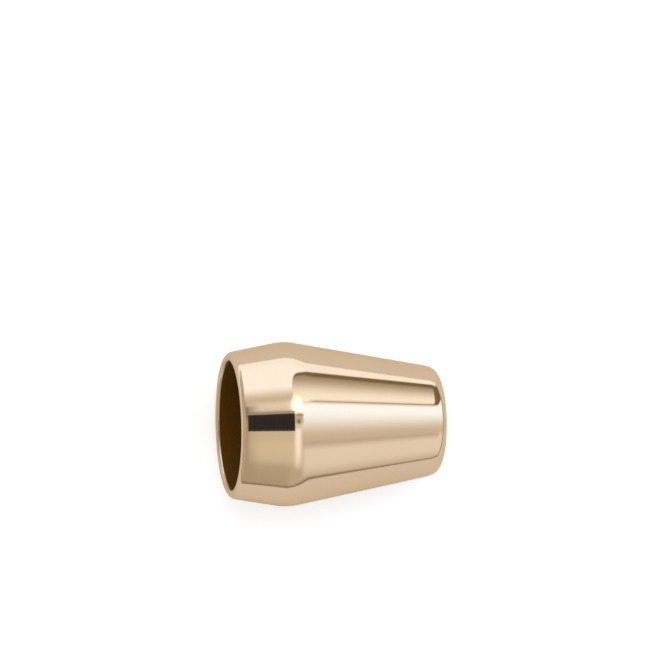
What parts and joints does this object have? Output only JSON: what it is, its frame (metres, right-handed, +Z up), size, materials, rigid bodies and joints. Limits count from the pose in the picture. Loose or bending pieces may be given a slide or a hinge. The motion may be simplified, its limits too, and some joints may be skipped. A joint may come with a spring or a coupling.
{
  "type": "cord end",
  "caption": "Hollow bell-shaped cord end in polished gold-plated metal, a long and a short taper meeting at a round shoulder, open at the mouth, with a cord hole in its small end.",
  "frame": {"origin": "under the middle of the bounding box, on the surface that the cord end lies on", "axes": "+Z up, mouth towards -X, small end towards +X; the cord end lies on its long taper, so its own axis rises towards the mouth by 11 degrees"},
  "size_m": [0.0194, 0.0138, 0.0138],
  "materials": {
    "gold_plate": "light gold plating, mirror polished outside, darker and duller in the cavity"
  },
  "bodies": {
    "root": {"cord_end": "gold_plate"}
  },
  "joints": []
}
